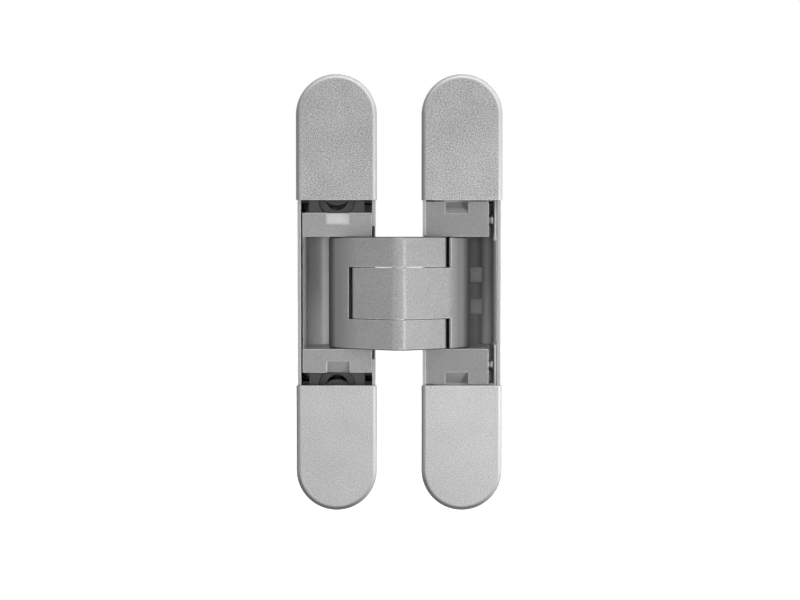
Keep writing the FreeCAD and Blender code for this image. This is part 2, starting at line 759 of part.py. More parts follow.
def sleeve(label, across, along, inner, outer, length, middle=None):
    """Plain bush, or a pair of them when the middle stretch is left out."""
    shell = doc.addObject("Part::Cut", label if middle is None else label + "_whole")
    shell.Base = cylinder(label + "_outside", across, along, outer, length)
    shell.Tool = cylinder(label + "_inside", across, along, inner,
                          "%s + 2 * Sizes.cut_margin" % length)
    if middle is None:
        return shell
    pair = doc.addObject("Part::Cut", label)
    pair.Base = shell
    pair.Tool = cylinder(label + "_middle", across, along, outer + " + Sizes.cut_margin", middle)
    return pair


def make_pins():
    door_pivot = "Sizes.leaf_pitch - Sizes.pivot_reach"
    door_slider = "Sizes.leaf_pitch - Sizes.slider_reach"
    pivot_length = "2 * (Sizes.frame_block_end - Sizes.pin_socket_wall - Sizes.end_clearance)"
    slider_length = "Sizes.arm_height + 2 * (Sizes.end_clearance + Sizes.roller_length)"
    elbow = ("%r" % ELBOW.x, "%r" % ELBOW.y)
    return [
        pin("frame_pivot_pin", "Sizes.pivot_reach", "Sizes.pivot_depth",
            "Sizes.pivot_pin_radius", pivot_length),
        pin("door_pivot_pin", door_pivot, "Sizes.pivot_depth",
            "Sizes.pivot_pin_radius", pivot_length),
        pin("elbow_pin", elbow[0], elbow[1], "Sizes.elbow_pin_radius",
            "Sizes.arm_height - 2 * Sizes.arm_rounding"),
        pin("frame_slider_pin", "Sizes.slider_reach", "Sizes.slider_depth",
            "Sizes.slider_pin_radius", slider_length),
        pin("door_slider_pin", door_slider, "Sizes.slider_depth",
            "Sizes.slider_pin_radius", slider_length),
    ]


def make_bushes():
    door_pivot = "Sizes.leaf_pitch - Sizes.pivot_reach"
    door_slider = "Sizes.leaf_pitch - Sizes.slider_reach"
    pivot_inner = "Sizes.pivot_pin_radius + Sizes.running_clearance"
    elbow_inner = "Sizes.elbow_pin_radius + Sizes.running_clearance"
    roller_inner = "Sizes.slider_pin_radius + Sizes.pin_clearance"
    slot = "Sizes.tongue_height + 2 * Sizes.side_gap"
    roller_ends = "Sizes.arm_height + 2 * (Sizes.end_clearance + Sizes.roller_length)"
    roller_start = "Sizes.arm_height + 2 * Sizes.end_clearance"
    elbow = ("%r" % ELBOW.x, "%r" % ELBOW.y)
    return [
        sleeve("tongue_pivot_bush", "Sizes.pivot_reach", "Sizes.pivot_depth", pivot_inner,
               pivot_inner + " + Sizes.bush_wall", "Sizes.tongue_height"),
        sleeve("elbow_bush", elbow[0], elbow[1], elbow_inner,
               elbow_inner + " + Sizes.bush_wall", "Sizes.tongue_height"),
        sleeve("fork_pivot_bushes", door_pivot, "Sizes.pivot_depth", pivot_inner,
               pivot_inner + " + Sizes.bush_wall", "Sizes.arm_height", slot),
        sleeve("frame_slider_rollers", "Sizes.slider_reach", "Sizes.slider_depth", roller_inner,
               "Sizes.roller_radius", roller_ends, roller_start),
        sleeve("door_slider_rollers", door_slider, "Sizes.slider_depth", roller_inner,
               "Sizes.roller_radius", roller_ends, roller_start),
    ]


# Door side
def make_door_block(label, flip):
    """Guide block of the door leaf, with the groove, the pivot seat and a clamping lug."""
    body = new_body(label)
    sign = "" if flip > 0 else "-"
    left = "-(Sizes.opening_width / 2 - Sizes.block_gap_side)"
    right = left + " + Sizes.door_block_width"
    near = "(Sizes.arm_height / 2 + Sizes.end_clearance)"
    slab(body, label + "_block", "0",
         "Sizes.frame_block_depth - Sizes.trough_floor - Sizes.end_clearance",
         lambda sketch: rectangle(sketch, left, right, sign + near,
                                  sign + "Sizes.door_block_end"))
    slab(body, label + "_lug", "Sizes.door_lug_level", "Sizes.door_lug_thickness",
         lambda sketch: rectangle(sketch, "-Sizes.lug_width / 2",
                                  "Sizes.lug_width / 2 - Sizes.lug_side_clearance",
                                  sign + "(Sizes.door_block_end - Sizes.lug_overlap)",
                                  sign + "Sizes.door_lug_end"))
    recess(body, label + "_counterbore", "0", "Sizes.door_lug_level + Sizes.door_clamp_head",
           lambda sketch: clamp_slot(sketch, flip, size("door_clamp_head_radius")
                                     + size("clamp_clearance")))
    recess(body, label + "_clamp_slot", "0", "Sizes.door_lug_level + Sizes.door_lug_thickness",
           lambda sketch: clamp_slot(sketch, flip, size("door_clamp_shank_radius")
                                     + size("clamp_clearance")))
    centred(body, "PartDesign::Pocket", "XY_Plane", label + "_groove",
            "2 * (%s + Sizes.groove_depth)" % near, lambda sketch: groove(sketch, -1))
    centred(body, "PartDesign::Pocket", "XY_Plane", label + "_pivot_seat",
            "2 * (Sizes.frame_block_end - Sizes.pin_socket_wall)",
            lambda sketch: circle(sketch, "-Sizes.pivot_reach", "Sizes.pivot_depth",
                                  "Sizes.pivot_pin_radius + Sizes.pin_clearance"))
    ramp_notch(body, label + "_notch", flip, size("door_block_end"), size("door_notch_depth"),
               size("door_notch_inner_depth"), size("door_notch_offset"))
    side = sketch_on(body, "YZ_Plane", label + "_screw_bore",
                     right + " + Sizes.depth_bore_lead")
    circle(side, "Sizes.depth_screw_level", sign + "Sizes.depth_screw_height",
           "Sizes.depth_screw_radius + Sizes.running_clearance")
    extrude(body, "PartDesign::Pocket", side, "Sizes.depth_screw_length + Sizes.depth_travel",
            False)
    body.setExpression("Placement.Base.x", "Sizes.leaf_pitch")
    return body


def clamp_slot(sketch, flip, radius):
    """Obround across the leaf that lets the block shift under its clamp screw."""
    centre = flip * size("door_clamp_height")
    low = -size("depth_travel") - radius - size("end_clearance")
    high = radius + size("end_clearance")
    rounded_outline(sketch, [(low, centre - radius, radius), (high, centre - radius, radius),
                             (high, centre + radius, radius), (low, centre + radius, radius)])


def make_door_cradle():
    """Carrier of the door blocks: a trough, end walls, a side wall and two outer plates."""
    body = new_body("door_cradle")
    half = size("opening_width") / 2 - size("block_gap_side")
    depth = size("frame_block_depth")
    floor = depth - size("trough_floor")
    top = size("trough_top")
    inside = -half + size("trough_wall")
    trough = across_zero([(-half, top, 0), (-half, depth, 0), (half, depth, 0), (half, floor, 0),
                          (inside + size("trough_lean"), floor, size("trough_rounding")),
                          (inside, top, 0)])
    near = "(Sizes.arm_height / 2 - Sizes.end_clearance)"
    centred(body, "PartDesign::Pad", "XY_Plane", "door_trough", "2 * " + near,
            lambda sketch: rounded_outline(sketch, trough))
    inner = cradle_inner_end()
    outer = cradle_outer_end()
    for end, flip in (("top", 1), ("bottom", -1)):
        start = size("arm_height") / 2 - size("bracket_overlap")
        profile = [(floor, flip * start, 0), (floor, flip * inner, 0),
                   (cradle_level(), flip * inner, 0), (cradle_level(), flip * size("cradle_end"), 0),
                   (cradle_bottom(), flip * size("cradle_end"), 0), (cradle_bottom(), flip * outer, 0),
                   (depth, flip * outer, 0), (depth, flip * start, 0)]
        centred(body, "PartDesign::Pad", "YZ_Plane", "bracket_" + end, "%r" % (2 * half),
                lambda sketch: rounded_outline(sketch, profile))
        sign = "" if flip > 0 else "-"
        slab(body, "side_wall_" + end, "Sizes.door_lug_level", "%r" % (depth - size("door_lug_level")),
             lambda sketch: rectangle(sketch, "%r" % (half - size("cradle_side_wall")), "%r" % half,
                                      sign + "(%s - Sizes.bracket_overlap)" % near,
                                      sign + "%r" % outer))
        recess(body, "lateral_bore_" + end, "%r" % cradle_level(), "Sizes.cradle_plate",
               lambda sketch: circle(sketch, "0", sign + "Sizes.lateral_screw_height",
                                     "Sizes.lateral_shank_radius + Sizes.running_clearance"))
        recess(body, "clamp_bore_" + end, "%r" % cradle_level(), "Sizes.cradle_plate",
               lambda sketch: circle(sketch, "0", sign + "Sizes.door_clamp_height",
                                     "Sizes.door_clamp_shank_radius + Sizes.pin_clearance"))
        recess(body, "trough_window_" + end, "%r" % (floor - size("trough_rounding")),
               "Sizes.trough_rounding + 2 * Sizes.trough_floor",
               lambda sketch: rectangle(sketch, "Sizes.window_reach - Sizes.window_width / 2",
                                        "Sizes.window_reach + Sizes.window_width / 2",
                                        sign + "(Sizes.window_level - Sizes.window_length / 2)",
                                        sign + "(Sizes.window_level + Sizes.window_length / 2)"))
    body.setExpression("Placement.Base.x", "Sizes.leaf_pitch")
    return body


def across_zero(corners):
    return [(-across, along, radius) for across, along, radius in reversed(corners)]


# Screws
def make_screw(label, profile, socket_radius, socket_depth, across, level, height, turn=0):
    """Turned screw along its own Y axis, with a hexagon socket in the end nearest the face."""
    body = new_body(label)
    sketch = sketch_on(body, "XY_Plane", label + "_profile")
    rounded_outline(sketch, [(0, profile[0][1], 0)] + [(r, y, 0) for r, y in profile]
                    + [(0, profile[-1][1], 0)])
    turning = body.newObject("PartDesign::Revolution", label + "_turned")
    turning.Profile = sketch
    turning.ReferenceAxis = (sketch, ["V_Axis"])
    turning.Angle = 360
    corners = [(socket_radius * math.cos(math.radians(60 * index)),
                socket_radius * math.sin(math.radians(60 * index)), 0) for index in range(6)]
    recess(body, label + "_socket", "0", socket_depth,
           lambda socket: rounded_outline(socket, corners))
    body.Placement = FreeCAD.Placement(Vector(0, 0, 0), FreeCAD.Rotation(Vector(0, 0, 1), turn))
    body.setExpression("Placement.Base.x", across)
    body.setExpression("Placement.Base.y", "%s - Sizes.flange_thickness" % level)
    body.setExpression("Placement.Base.z", height)
    return body


def headed(head_radius, head, shank_radius, shank_end):
    """Profile of a headed screw as (radius, distance from the head's top) points."""
    bevel = size("screw_bevel")
    return [(head_radius - bevel, 0), (head_radius, bevel), (head_radius, head),
            (shank_radius, head), (shank_radius, shank_end - bevel),
            (shank_radius - bevel, shank_end)]


def make_screws():
    screws = []
    sunk = size("clamp_clearance")
    frame_head = size("counterbore_depth") - sunk
    frame_end = (frame_head + size("lug_thickness") - size("counterbore_depth")
                 + size("shallow_floor") - size("tap_floor") - size("screw_end_clearance"))
    reach = size("lateral_travel") + size("end_clearance")
    lateral_level = cradle_level() - reach - size("lateral_head")
    lateral_end = (cradle_bottom() + reach + size("shallow_floor") - size("lateral_travel")
                   - size("screw_end_clearance"))
    clamp_level = size("door_lug_level")
    clamp_end = cradle_bottom() - clamp_level - sunk
    tip = size("opening_width") / 2 - size("block_gap_side") - size("cradle_side_wall")
    for end, sign in (("top", ""), ("bottom", "-")):
        screws.append(make_screw(
            "frame_clamp_screw_" + end,
            headed(size("clamp_head_radius"), frame_head, size("clamp_shank_radius"), frame_end),
            size("clamp_socket_radius"), "Sizes.clamp_socket_depth", "0",
            "Sizes.lug_level + Sizes.clamp_clearance",
            sign + "Sizes.clamp_height"))
        screws.append(make_screw(
            "lateral_screw_" + end,
            headed(size("lateral_head_radius"), size("lateral_head"),
                   size("lateral_shank_radius"), lateral_end - lateral_level),
            size("screw_socket_radius"), "Sizes.lateral_socket_depth", "Sizes.leaf_pitch",
            "%r" % lateral_level,
            sign + "Sizes.lateral_screw_height"))
        screws.append(make_screw(
            "door_clamp_screw_" + end,
            headed(size("door_clamp_head_radius"), size("door_clamp_head"),
                   size("door_clamp_shank_radius"), clamp_end),
            size("screw_socket_radius"), "Sizes.door_clamp_socket_depth", "Sizes.leaf_pitch",
            "%r" % clamp_level,
            sign + "Sizes.door_clamp_height"))
        bevel = size("screw_bevel")
        radius = size("depth_screw_radius")
        length = size("depth_screw_length")
        screws.append(make_screw(
            "depth_screw_" + end,
            [(radius - bevel, 0), (radius, bevel), (radius, length - bevel),
             (radius - bevel, length)],
            size("screw_socket_radius"), "Sizes.depth_socket_depth",
            "Sizes.leaf_pitch + %r" % (tip - length - size("pin_clearance")),
            "Sizes.depth_screw_level", sign + "Sizes.depth_screw_height", -90))
    return screws


# Build, test and write
parts = [make_frame_housing(), make_door_housing(), make_frame_carriage(), make_fork_arm(),
         make_tongue_arm(), make_door_cradle(), make_door_block("door_block_top", 1),
         make_door_block("door_block_bottom", -1)]
for end, upward in (("top", 1), ("bottom", -1)):
    parts.append(make_cover("frame_cover_" + end, None, upward))
    parts.append(make_cover("door_cover_" + end, "Sizes.leaf_pitch", upward))
parts += make_pins() + make_bushes() + make_screws()
doc.recompute()

for item in doc.Objects:
    if "Invalid" in item.State or "Error" in item.State:
        raise RuntimeError("%s failed: %s" % (item.Label, item.State))
os.makedirs("parts", exist_ok=True)
for part in parts:
    if part.Shape.isNull() or not part.Shape.isValid():
        raise RuntimeError("%s has no valid shape" % part.Label)
for part in parts:
    part.Shape.exportStep("parts/%s.step" % part.Label)
    print("%-24s solids %d volume %.1f" % (part.Label, len(part.Shape.Solids), part.Shape.Volume))
print("elbow rise %.4f, tongue turn %.4f deg" % (RISE, math.degrees(TONGUE_TURN)))
print("pivot %s slider %s folded slider %s" % (PIVOT, SLIDER, slider_at(1)))
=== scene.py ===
"""Looks, light and camera for the concealed door hinge. Lengths are in metres, in the CAD frame."""

import bmesh
import bpy
import numpy as np
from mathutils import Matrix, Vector


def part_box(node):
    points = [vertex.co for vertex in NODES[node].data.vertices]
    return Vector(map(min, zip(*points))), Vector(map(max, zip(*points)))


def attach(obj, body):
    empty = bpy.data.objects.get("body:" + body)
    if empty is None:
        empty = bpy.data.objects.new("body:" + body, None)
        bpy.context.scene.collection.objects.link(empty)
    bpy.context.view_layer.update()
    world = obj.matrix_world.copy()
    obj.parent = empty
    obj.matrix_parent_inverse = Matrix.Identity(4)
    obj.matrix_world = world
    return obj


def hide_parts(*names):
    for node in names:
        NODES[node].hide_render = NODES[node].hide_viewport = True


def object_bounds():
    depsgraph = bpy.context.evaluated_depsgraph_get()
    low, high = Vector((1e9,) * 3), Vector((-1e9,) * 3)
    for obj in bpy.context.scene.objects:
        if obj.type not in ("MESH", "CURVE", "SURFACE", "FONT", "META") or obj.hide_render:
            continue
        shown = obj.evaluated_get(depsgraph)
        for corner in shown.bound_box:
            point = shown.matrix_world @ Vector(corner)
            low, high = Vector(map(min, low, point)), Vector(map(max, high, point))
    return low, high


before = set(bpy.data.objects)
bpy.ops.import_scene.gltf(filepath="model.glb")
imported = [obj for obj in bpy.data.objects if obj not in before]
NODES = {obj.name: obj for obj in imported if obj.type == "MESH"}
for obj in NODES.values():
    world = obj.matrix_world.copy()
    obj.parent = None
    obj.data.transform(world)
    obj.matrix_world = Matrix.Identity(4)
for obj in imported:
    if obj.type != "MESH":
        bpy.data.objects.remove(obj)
cad_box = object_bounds()
MM = 0.001
LEAF_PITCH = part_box("door_cover_top")[0].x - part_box("frame_cover_top")[0].x

# Which finish each piece has
FINISHES = {
    # One cover paint in two copies: the upper covers' copy darker, as painted shade, with more contrast
    # in its flakes, and the lower covers' copy paler, as painted light
    "satin_paint": ["frame_cover_top", "door_cover_top"],
    "cover_paint_lit_copy": ["frame_cover_bottom", "door_cover_bottom"],
    "fork_paint": ["fork_arm"],
    "tongue_paint": ["tongue_arm"],
    "carriage_metal": ["frame_carriage"],
    "block_metal": ["door_block_top", "door_block_bottom"],
    "cradle_metal": ["door_cradle"],
    "frame_housing_metal": ["frame_housing"],
    "door_housing_metal": ["door_housing"],
    "ground_steel": ["frame_pivot_pin", "door_pivot_pin", "elbow_pin", "frame_slider_pin",
                     "door_slider_pin"],
    "bush_polymer": ["tongue_pivot_bush", "elbow_bush", "fork_pivot_bushes", "frame_slider_rollers",
                     "door_slider_rollers"],
}

# Grain of the metals: fine flakes over a slow mottle. The scale of a noise is in waves to a metre.
FLAKE_DETAIL = 2.0
FLAKE_RANGE = (0.3, 0.7)
FLAKE_SHARE = 0.7
FLAKE_HEIGHT = 0.05 * MM
MOTTLE_SCALE = 90.0
MOTTLE_DETAIL = 4.0
MOTTLE_SHARE = 0.3
GLOSS_SPREAD = 0.06

# Painted edge highlight, a pale grey laid on the edges: how far the edge is rounded, and how well the
# rounded normal agrees with the flat one where the highlight starts and where it is full
EDGE_RADIUS = 0.42 * MM
EDGE_SAMPLES = 6
EDGE_RANGE = (0.997, 0.9)

# Painted highlight and shade on the rounded rim of a cover: how far inside the edge it starts and is
# full, which way its painted highlight looks (across, up), how well a point has to agree with that
# way to be darkest and palest, and both greys
RIM_START = 1.5 * MM
RIM_FULL = 0.9 * MM
RIM_HIGHLIGHT_SIDE = (0.45, 0.89)
RIM_RANGE = (-0.7, 0.95)
RIM_GREYS = (0.14, 1.0)

# Metallic paint goes dark where it turns away from the eye: where that starts and where it is full
FLOP_RANGE = (0.17, 0.6)

# A pocket's faces: the most that they may look outward from the leaf's middle, or into the wood
OUTWARD_LIMIT = 0.1 * MM
INTO_WOOD_LIMIT = 0.1

# The colour sockets of a mix node
MIX_UNDER, MIX_OVER, MIX_RESULT = 6, 7, 2


def new_group(name, inputs, outputs):
    """A node group with its own input and output nodes, from (name, default) rows of numbers and
    (name, socket type) rows."""
    group = bpy.data.node_groups.new(name, "ShaderNodeTree")
    for label, default in inputs:
        socket = group.interface.new_socket(label, in_out="INPUT", socket_type="NodeSocketFloat")
        socket.default_value = default
    for label, kind in outputs:
        group.interface.new_socket(label, in_out="OUTPUT", socket_type=kind)
    return group, group.nodes.new("NodeGroupInput"), group.nodes.new("NodeGroupOutput")


def feed(links, socket, value):
    """Gives a socket a plain number, or the value of another socket."""
    if isinstance(value, float):
        socket.default_value = value
    else:
        links.new(value, socket)


def operate(nodes, links, operation, first, second):
    """One sum on two values, each a socket or a plain number."""
    node = nodes.new("ShaderNodeMath")
    node.operation = operation
    for socket, value in zip(node.inputs, (first, second)):
        feed(links, socket, value)
    return node.outputs[0]


def ranged(nodes, links, value, source, target=(0.0, 1.0)):
    """A value carried from the source range to the target range, and held at the target's ends."""
    node = nodes.new("ShaderNodeMapRange")
    feed(links, node.inputs["Value"], value)
    feed(links, node.inputs["From Min"], source[0])
    feed(links, node.inputs["From Max"], source[1])
    feed(links, node.inputs["To Min"], target[0])
    feed(links, node.inputs["To Max"], target[1])
    return node.outputs["Result"]


def noise(nodes, links, place, scale, detail):
    """A noise pattern over a place, from 0 to 1."""
    node = nodes.new("ShaderNodeTexNoise")
    node.inputs["Detail"].default_value = detail
    links.new(place, node.inputs["Vector"])
    feed(links, node.inputs["Scale"], scale)
    return node.outputs["Fac"]


def speckle_group():
    """Fine metallic paint: a mask of small flakes, a slow mottle, a mask that is 1 on edges, for a
    painted highlight there, and the normal of the rounded edge with the flakes' relief on it."""
    group, given, out = new_group(
        "SpeckledMetal", [("Scale", 2600.0), ("Relief", 0.1)],
        [("Flakes", "NodeSocketFloat"), ("Mottle", "NodeSocketFloat"), ("Edge", "NodeSocketFloat"),
         ("Normal", "NodeSocketVector")])
    nodes, links = group.nodes, group.links
    place = nodes.new("ShaderNodeTexCoord").outputs["Object"]
    flakes = noise(nodes, links, place, given.outputs["Scale"], FLAKE_DETAIL)
    rounded = nodes.new("ShaderNodeBevel")
    rounded.samples = EDGE_SAMPLES
    rounded.inputs["Radius"].default_value = EDGE_RADIUS
    flat = nodes.new("ShaderNodeNewGeometry")
    agree = nodes.new("ShaderNodeVectorMath")
    agree.operation = "DOT_PRODUCT"
    links.new(rounded.outputs["Normal"], agree.inputs[0])
    links.new(flat.outputs["Normal"], agree.inputs[1])
    bump = nodes.new("ShaderNodeBump")
    bump.inputs["Distance"].default_value = FLAKE_HEIGHT
    links.new(given.outputs["Relief"], bump.inputs["Strength"])
    links.new(flakes, bump.inputs["Height"])
    links.new(rounded.outputs["Normal"], bump.inputs["Normal"])
    links.new(ranged(nodes, links, flakes, FLAKE_RANGE), out.inputs["Flakes"])
    links.new(noise(nodes, links, place, MOTTLE_SCALE, MOTTLE_DETAIL), out.inputs["Mottle"])
    links.new(ranged(nodes, links, agree.outputs["Value"], EDGE_RANGE), out.inputs["Edge"])
    links.new(bump.outputs["Normal"], out.inputs["Normal"])
    return group


def from_leaf_middle(nodes, links, across):
    """How far right of its own leaf's middle line a point lies."""
    on_door = operate(nodes, links, "GREATER_THAN", across, LEAF_PITCH / 2)
    shift = operate(nodes, links, "MULTIPLY", on_door, LEAF_PITCH)
    return operate(nodes, links, "SUBTRACT", across, shift)


def pair_sum(nodes, links, first, second):
    """The products of two pairs of values, added."""
    return operate(nodes, links, "ADD", operate(nodes, links, "MULTIPLY", *first),
                   operate(nodes, links, "MULTIPLY", *second))


def zone_group():
    """Masks by place. Inside is 1 where a point's height above or below the hinge's middle is less
    than the level, and Above where the point is higher than the level. Deep is 1 where it lies
    further into the wood than the depth. Fade goes from 0 to 1 as its place across the hinge goes
    from the start to the end. Pocket is Deep without the faces that look outward, where the normal
    times the place from the leaf's middle, summed, is positive, and without those that look into
    the wood."""
    labels = ("Inside", "Deep", "Fade", "Pocket", "Above")
    group, given, out = new_group(
        "PlaceZone", [("Level", 20 * MM), ("Depth", 0.0), ("Start", 0.0), ("End", 10 * MM)],
        [(label, "NodeSocketFloat") for label in labels])
    nodes, links = group.nodes, group.links
    place = nodes.new("ShaderNodeTexCoord")
    apart = nodes.new("ShaderNodeSeparateXYZ")
    links.new(place.outputs["Object"], apart.inputs["Vector"])
    sides = nodes.new("ShaderNodeSeparateXYZ")
    links.new(place.outputs["Normal"], sides.inputs["Vector"])
    height = operate(nodes, links, "ABSOLUTE", apart.outputs["Z"], 0.0)
    inside = operate(nodes, links, "LESS_THAN", height, given.outputs["Level"])
    deep = operate(nodes, links, "GREATER_THAN", apart.outputs["Y"], given.outputs["Depth"])
    fade = ranged(nodes, links, apart.outputs["X"], (given.outputs["Start"], given.outputs["End"]))
    middle = from_leaf_middle(nodes, links, apart.outputs["X"])
    outward = pair_sum(nodes, links, (middle, sides.outputs["X"]),
                       (apart.outputs["Z"], sides.outputs["Z"]))
    inner = operate(nodes, links, "LESS_THAN", outward, OUTWARD_LIMIT)
    forward = operate(nodes, links, "LESS_THAN", sides.outputs["Y"], INTO_WOOD_LIMIT)
    pocket = operate(nodes, links, "MULTIPLY", deep, operate(nodes, links, "MULTIPLY", inner, forward))
    above = operate(nodes, links, "GREATER_THAN", apart.outputs["Z"], given.outputs["Level"])
    for label, mask in zip(labels, (inside, deep, fade, pocket, above)):
        links.new(mask, out.inputs[label])
    return group


def rim_group():
    """Painted highlight and shade on the rounded rim of a cover. A point's distance from the rim is the
    round end's radius less its distance from the end's centre, or from the middle line beside the
    straight part. Rim goes from 0 to 1 near the edge, and Tone from painted shade where the rim faces
    down and left to painted highlight where it faces up and right."""
    low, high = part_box("frame_cover_top")
    radius = (high.x - low.x) / 2
    straight = high.z - radius
    group, given, out = new_group(
        "PaintedRimLight", [], [("Rim", "NodeSocketFloat"), ("Tone", "NodeSocketFloat")])
    nodes, links = group.nodes, group.links
    place = nodes.new("ShaderNodeTexCoord")
    apart = nodes.new("ShaderNodeSeparateXYZ")
    links.new(place.outputs["Object"], apart.inputs["Vector"])
    across = from_leaf_middle(nodes, links, apart.outputs["X"])
    nearest = operate(nodes, links, "MINIMUM", apart.outputs["Z"], straight)
    nearest = operate(nodes, links, "MAXIMUM", nearest, -straight)
    up = operate(nodes, links, "SUBTRACT", apart.outputs["Z"], nearest)
    squares = pair_sum(nodes, links, (across, across), (up, up))
    reach = operate(nodes, links, "SQRT", squares, 0.0)
    rim = ranged(nodes, links, reach, (radius - RIM_START, radius - RIM_FULL))
    facing = pair_sum(nodes, links, (across, RIM_HIGHLIGHT_SIDE[0]), (up, RIM_HIGHLIGHT_SIDE[1]))
    facing = operate(nodes, links, "DIVIDE", facing, reach)
    links.new(rim, out.inputs["Rim"])
    links.new(ranged(nodes, links, facing, RIM_RANGE, RIM_GREYS), out.inputs["Tone"])
    return group


SPECKLE = speckle_group()
ZONE = zone_group()
RIM = rim_group()


def grouped(nodes, tree):
    """A use of one of the groups."""
    node = nodes.new("ShaderNodeGroup")
    node.node_tree = tree
    return node


def mixed(nodes, links, share, under, over):
    """Colour that goes from the socket under to the grey or socket over, by a share."""
    mix = nodes.new("ShaderNodeMix")
    mix.data_type = "RGBA"
    links.new(share, mix.inputs["Factor"])
    links.new(under, mix.inputs[MIX_UNDER])
    if isinstance(over, float):
        mix.inputs[MIX_OVER].default_value = (over, over, over, 1)
    else:
        links.new(over, mix.inputs[MIX_OVER])
    return mix.outputs[MIX_RESULT]


def zone_share(nodes, links, kind, level):
    """The mask of one zone: pocket or deep past a depth, fade from one place across to another,
    beyond a height, trough within a height and past a depth, or notch above a height and past a
    depth."""
    zone = grouped(nodes, ZONE)
    if kind in ("pocket", "deep"):
        zone.inputs["Depth"].default_value = level
        return zone.outputs[kind.capitalize()]
    if kind == "fade":
        zone.inputs["Start"].default_value, zone.inputs["End"].default_value = level
        return zone.outputs["Fade"]
    if kind == "beyond":
        zone.inputs["Level"].default_value = level
        return operate(nodes, links, "SUBTRACT", 1.0, zone.outputs["Inside"])
    zone.inputs["Level"].default_value, zone.inputs["Depth"].default_value = level
    side = zone.outputs["Inside" if kind == "trough" else "Above"]
    return operate(nodes, links, "MULTIPLY", side, zone.outputs["Deep"])


def metal(name, dark, light, metallic, roughness, scale, relief, edge=None, zones=(), flop=None,
          rim=False):
    """A metal whose grey runs from dark to light with its flakes and mottle. Edge is the grey of a
    highlight painted on its edges. In each zone (kind, level, grey) the zone's grey rules; the zones
    paint shade into the frame pocket, under the covers and onto the arms' roots, and light into the
    troughs, gaps, notch and door pocket. Rim adds painted highlight and shade on the rounded rim of a
    cover. Flop is the grey that metallic paint goes to where it turns away from the eye."""
    material = bpy.data.materials.new(name)
    material.use_nodes = True
    nodes, links = material.node_tree.nodes, material.node_tree.links
    shader = nodes["Principled BSDF"]
    shader.inputs["Metallic"].default_value = metallic
    grain = grouped(nodes, SPECKLE)
    grain.inputs["Scale"].default_value = scale
    grain.inputs["Relief"].default_value = relief
    blend = pair_sum(nodes, links, (grain.outputs["Mottle"], MOTTLE_SHARE),
                     (grain.outputs["Flakes"], FLAKE_SHARE))
    ramp = nodes.new("ShaderNodeValToRGB")
    for element, grey in zip(ramp.color_ramp.elements, (dark, light)):
        element.color = (grey, grey, grey, 1)
    links.new(blend, ramp.inputs["Fac"])
    colour = ramp.outputs["Color"]
    # the edge grey is a painted highlight on the edges
    if edge is not None:
        colour = mixed(nodes, links, grain.outputs["Edge"], colour, edge)
    for kind, level, grey in zones:
        colour = mixed(nodes, links, zone_share(nodes, links, kind, level), colour, grey)
    # painted highlight and shade on the cover's rim
    if rim:
        rim_paint = grouped(nodes, RIM)
        colour = mixed(nodes, links, rim_paint.outputs["Rim"], colour, rim_paint.outputs["Tone"])
    if flop is not None:
        away = nodes.new("ShaderNodeLayerWeight")
        turned = ranged(nodes, links, away.outputs["Facing"], FLOP_RANGE)
        colour = mixed(nodes, links, turned, colour, flop)
    links.new(colour, shader.inputs["Base Color"])
    gloss = ranged(nodes, links, grain.outputs["Mottle"], (0.0, 1.0),
                   (roughness - GLOSS_SPREAD, roughness + GLOSS_SPREAD))
    links.new(gloss, shader.inputs["Roughness"])
    links.new(grain.outputs["Normal"], shader.inputs["Normal"])
    return material


# Heights from the middle: just inside the troughs' ends, where the notch in the upper frame block
# starts, and just beyond the frame blocks' ends
TROUGH_END = 17.25 * MM
NOTCH_START = 20.5 * MM
BLOCK_END = 24.61 * MM
# Depths past which a zone's grey rules, with the hinge's face at -3 mm: the pockets start just
# behind it and change again at the middle depth, the trough is painted pale from its skin inward as
# painted light, and the carriage and the door blocks have their skins just behind their own faces
BELOW_FACE = -2.6 * MM
TROUGH_SKIN = 2 * MM
MID_DEPTH = 12 * MM
CARRIAGE_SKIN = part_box("frame_carriage")[0].y + 0.2 * MM
BLOCK_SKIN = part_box("door_block_top")[0].y + 0.2 * MM
# Places across the hinge where the painted shade on the arms' roots and the painted light on the
# cradle's right wall start, and where they are full
FORK_FADE = (6.5 * MM, 0.9 * MM)
TONGUE_FADE = (34.2 * MM, 37.6 * MM)
WALL_FADE = (45.6 * MM, 47.4 * MM)
